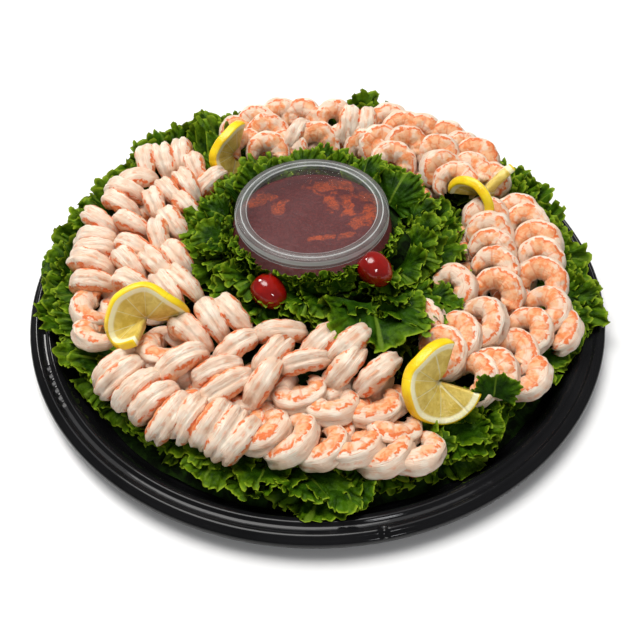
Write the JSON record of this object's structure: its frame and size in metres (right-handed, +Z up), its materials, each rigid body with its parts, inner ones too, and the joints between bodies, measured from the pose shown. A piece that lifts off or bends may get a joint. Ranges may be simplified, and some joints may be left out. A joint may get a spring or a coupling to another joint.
{
  "type": "shrimp platter with dip tub",
  "caption": "round tray of curled peeled shrimp on leaf lettuce, with lemon twists, small tomatoes and a lidded tub of dip",
  "frame": {"origin": "centre of the tray's underside, on the table", "axes": "+Z up; -Y is the side that the picture is taken from; +X to the right in the picture"},
  "size_m": [0.4572, 0.4572, 0.083],
  "materials": {
    "tray": "glossy black formed sheet",
    "tub": "clear",
    "lid": "clear, slightly hazy",
    "sauce": "wet tomato dip",
    "tomato": "glossy red skin",
    "lemon": "yellow rind, pale wet flesh",
    "lettuce": "crisp green leaf, satin",
    "shrimp": "moist cooked flesh"
  },
  "bodies": {
    "root": {"tray": "tray", "tub": "tub", "tub_lid": "lid", "sauce": "sauce", "tomato_left": "tomato", "tomato_right": "tomato", "lemon_twist_front_left": "lemon", "lemon_twist_front_right": "lemon", "lemon_twist_back_left": "lemon", "lemon_twist_back_right": "lemon", "lettuce_bed": "lettuce", "lettuce_collar": "lettuce", "shrimp_arc_front": "shrimp", "shrimp_arc_right": "shrimp", "shrimp_arc_back": "shrimp", "shrimp_arc_left": "shrimp"}
  },
  "joints": []
}
